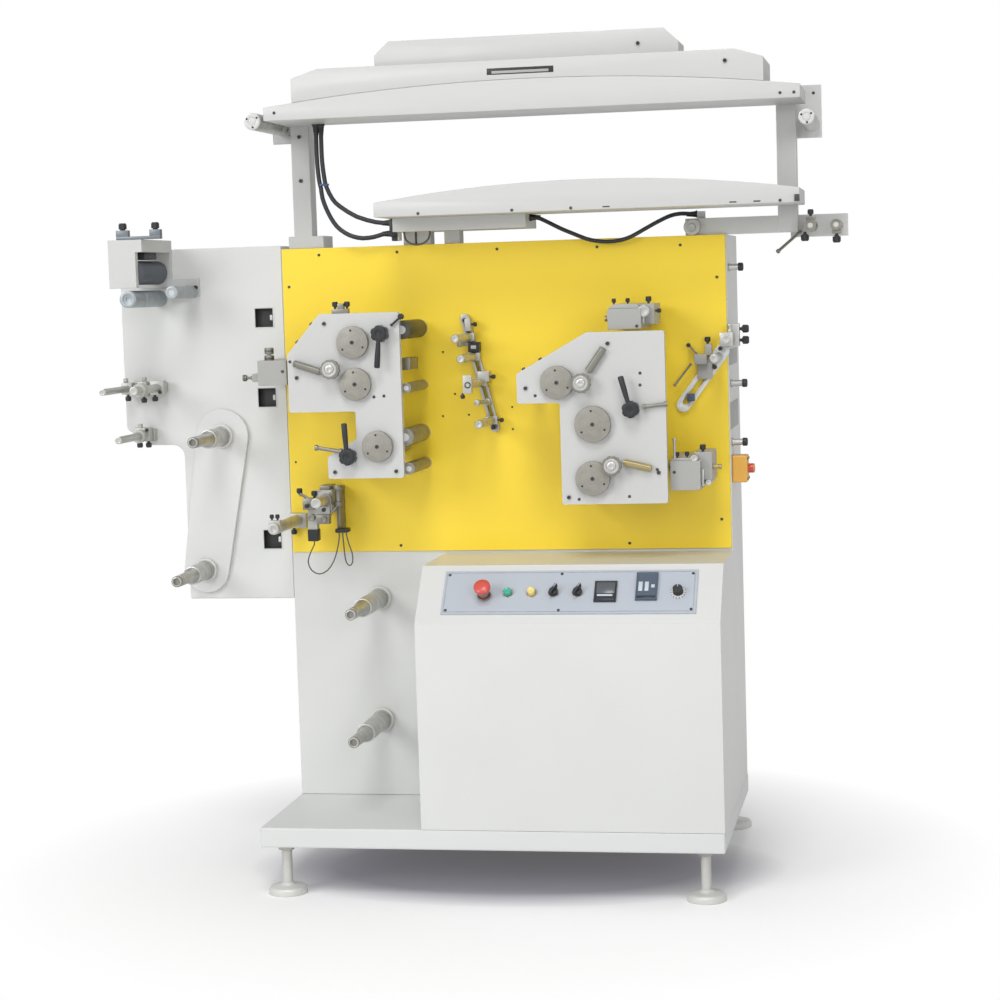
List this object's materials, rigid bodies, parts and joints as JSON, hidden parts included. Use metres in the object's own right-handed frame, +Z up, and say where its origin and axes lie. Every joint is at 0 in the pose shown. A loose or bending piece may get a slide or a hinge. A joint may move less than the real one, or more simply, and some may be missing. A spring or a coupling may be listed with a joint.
{
  "type": "flexographic printing press",
  "caption": "Narrow-web label press with a yellow front panel, print units, reel spindles, console and a dryer on posts above.",
  "frame": {"origin": "middle of the whole press's footprint, on the floor", "axes": "+Z up, +X to the operator's right along the front panel, +Y from the operator towards the back"},
  "size_m": [1.806, 0.836, 2.0123],
  "materials": {
    "white_paint": "satin warm white paint",
    "yellow_paint": "satin yellow paint",
    "steel": "turned and ground steel",
    "rubber": "ground rubber roller covering",
    "control_face": "light grey control plate",
    "black_plastic": "matt black plastic",
    "red_plastic": "red button plastic",
    "green_plastic": "green button plastic",
    "amber_plastic": "amber button plastic",
    "orange_plastic": "orange switch housing",
    "hose": "black hose and cable sheath"
  },
  "bodies": {
    "machine": {"base_frame": "white_paint", "rear_foot_beam": "white_paint", "foot_front_left": "white_paint", "foot_front_right": "white_paint", "foot_rear_left": "white_paint", "foot_rear_right": "white_paint", "main_housing": "white_paint", "yellow_panel": "yellow_paint", "wing_housing": "white_paint", "reel_arm_plate": "white_paint", "console_cabinet": "white_paint", "control_plate": "control_face", "left_unit_plate": "white_paint", "right_unit_plate": "white_paint", "left_ink_unit": "steel", "upper_ink_unit": "steel", "lower_ink_unit": "steel", "nip_bracket": "white_paint", "wing_guide_upper": "steel", "wing_guide_lower": "steel", "lower_left_roller": "steel", "sensor_cluster": "steel", "centre_guide_bar": "steel", "slotted_arm": "steel", "switch_box": "orange_plastic", "left_post": "white_paint", "right_post": "white_paint", "upper_tray": "white_paint", "lower_dryer": "white_paint", "dryer_channel": "white_paint", "dryer_hose_1": "hose", "dryer_hose_2": "hose", "dryer_cable": "hose"},
    "wing_spindle_upper_body": {"wing_spindle_upper": "steel"},
    "wing_spindle_lower_body": {"wing_spindle_lower": "steel"},
    "panel_spindle_upper_body": {"panel_spindle_upper": "steel"},
    "panel_spindle_lower_body": {"panel_spindle_lower": "steel"},
    "left_print_cylinder_body": {"left_print_cylinder": "steel"},
    "left_impression_cylinder_body": {"left_impression_cylinder": "steel"},
    "left_lower_roller_body": {"left_lower_roller": "steel"},
    "left_ink_roller_body": {"left_ink_roller": "steel"},
    "right_print_cylinder_body": {"right_print_cylinder": "steel"},
    "right_impression_cylinder_body": {"right_impression_cylinder": "steel"},
    "right_lower_cylinder_body": {"right_lower_cylinder": "steel"},
    "right_ink_roller_body": {"right_ink_roller": "steel"},
    "right_lower_ink_roller_body": {"right_lower_ink_roller": "steel"},
    "nip_roller_body": {"nip_roller": "rubber"},
    "draw_roller_body": {"draw_roller": "steel"},
    "left_upper_lever_body": {"left_upper_lever": "black_plastic"},
    "left_lower_lever_body": {"left_lower_lever": "black_plastic"},
    "right_lever_body": {"right_lever": "black_plastic"},
    "emergency_stop_body": {"emergency_stop": "red_plastic"},
    "start_button_body": {"start_button": "green_plastic"},
    "reset_button_body": {"reset_button": "amber_plastic"},
    "selector_left_body": {"selector_left": "black_plastic"},
    "selector_right_body": {"selector_right": "black_plastic"},
    "speed_knob_body": {"speed_knob": "black_plastic"},
    "dryer_lid": {"upper_lid": "white_paint", "top_hood": "white_paint"}
  },
  "joints": [
    {"name": "wing_spindle_upper_spin", "type": "hinge", "parent": "machine", "child": "wing_spindle_upper_body", "pos_m": [-0.65, -0.048, 1.0766], "axis": [0, -1, 0], "continuous": true},
    {"name": "wing_spindle_lower_spin", "type": "hinge", "parent": "machine", "child": "wing_spindle_lower_body", "pos_m": [-0.705, -0.048, 0.741], "axis": [0, -1, 0], "continuous": true},
    {"name": "panel_spindle_upper_spin", "type": "hinge", "parent": "machine", "child": "panel_spindle_upper_body", "pos_m": [-0.2625, -0.048, 0.666], "axis": [0, -1, 0], "continuous": true},
    {"name": "panel_spindle_lower_spin", "type": "hinge", "parent": "machine", "child": "panel_spindle_lower_body", "pos_m": [-0.266, -0.048, 0.36], "axis": [0, -1, 0], "continuous": true},
    {"name": "left_print_cylinder_spin", "type": "hinge", "parent": "machine", "child": "left_print_cylinder_body", "pos_m": [-0.253, -0.048, 1.306], "axis": [0, -1, 0], "continuous": true},
    {"name": "left_impression_cylinder_spin", "type": "hinge", "parent": "machine", "child": "left_impression_cylinder_body", "pos_m": [-0.25, -0.048, 1.207], "axis": [0, -1, 0], "continuous": true},
    {"name": "left_lower_roller_spin", "type": "hinge", "parent": "machine", "child": "left_lower_roller_body", "pos_m": [-0.201, -0.048, 1.058], "axis": [0, -1, 0], "continuous": true},
    {"name": "left_ink_roller_spin", "type": "hinge", "parent": "machine", "child": "left_ink_roller_body", "pos_m": [-0.305, -0.048, 1.244], "axis": [0, -1, 0], "continuous": true},
    {"name": "right_print_cylinder_spin", "type": "hinge", "parent": "machine", "child": "right_print_cylinder_body", "pos_m": [0.234, -0.048, 1.2], "axis": [0, -1, 0], "continuous": true},
    {"name": "right_impression_cylinder_spin", "type": "hinge", "parent": "machine", "child": "right_impression_cylinder_body", "pos_m": [0.316, -0.048, 1.101], "axis": [0, -1, 0], "continuous": true},
    {"name": "right_lower_cylinder_spin", "type": "hinge", "parent": "machine", "child": "right_lower_cylinder_body", "pos_m": [0.313, -0.048, 0.974], "axis": [0, -1, 0], "continuous": true},
    {"name": "right_ink_roller_spin", "type": "hinge", "parent": "machine", "child": "right_ink_roller_body", "pos_m": [0.294, -0.048, 1.198], "axis": [0, -1, 0], "continuous": true},
    {"name": "right_lower_ink_roller_spin", "type": "hinge", "parent": "machine", "child": "right_lower_ink_roller_body", "pos_m": [0.361, -0.048, 1.004], "axis": [0, -1, 0], "continuous": true},
    {"name": "nip_roller_spin", "type": "hinge", "parent": "machine", "child": "nip_roller_body", "pos_m": [-0.801, -0.048, 1.487], "axis": [0, -1, 0], "continuous": true},
    {"name": "draw_roller_spin", "type": "hinge", "parent": "machine", "child": "draw_roller_body", "pos_m": [-0.801, -0.048, 1.4235], "axis": [0, -1, 0], "continuous": true},
    {"name": "left_upper_lever_turn", "type": "hinge", "parent": "machine", "child": "left_upper_lever_body", "pos_m": [-0.184, -0.048, 1.325], "axis": [0, -1, 0], "range_deg": [0, 90]},
    {"name": "left_lower_lever_turn", "type": "hinge", "parent": "machine", "child": "left_lower_lever_body", "pos_m": [-0.272, -0.048, 1.035], "axis": [0, -1, 0], "range_deg": [0, 90]},
    {"name": "right_lever_turn", "type": "hinge", "parent": "machine", "child": "right_lever_body", "pos_m": [0.407, -0.048, 1.134], "axis": [0, 1, 0], "range_deg": [0, 90]},
    {"name": "emergency_stop_press", "type": "slide", "parent": "machine", "child": "emergency_stop_body", "axis": [0, 0.7367, -0.6763], "range_m": [0, 0.004]},
    {"name": "start_button_press", "type": "slide", "parent": "machine", "child": "start_button_body", "axis": [0, 0.7367, -0.6763], "range_m": [0, 0.003]},
    {"name": "reset_button_press", "type": "slide", "parent": "machine", "child": "reset_button_body", "axis": [0, 0.7367, -0.6763], "range_m": [0, 0.003]},
    {"name": "selector_left_turn", "type": "hinge", "parent": "machine", "child": "selector_left_body", "pos_m": [0.228, -0.362, 0.715], "axis": [0, -0.7367, 0.6763], "range_deg": [-45, 45]},
    {"name": "selector_right_turn", "type": "hinge", "parent": "machine", "child": "selector_right_body", "pos_m": [0.284, -0.362, 0.715], "axis": [0, -0.7367, 0.6763], "range_deg": [-45, 45]},
    {"name": "speed_knob_turn", "type": "hinge", "parent": "machine", "child": "speed_knob_body", "pos_m": [0.517, -0.362, 0.715], "axis": [0, 0.7367, -0.6763], "range_deg": [0, 270]},
    {"name": "dryer_lid_lift", "type": "hinge", "parent": "machine", "child": "dryer_lid", "pos_m": [0.167, -0.0423, 1.865], "axis": [-1, 0, 0], "range_deg": [0, 60]}
  ]
}
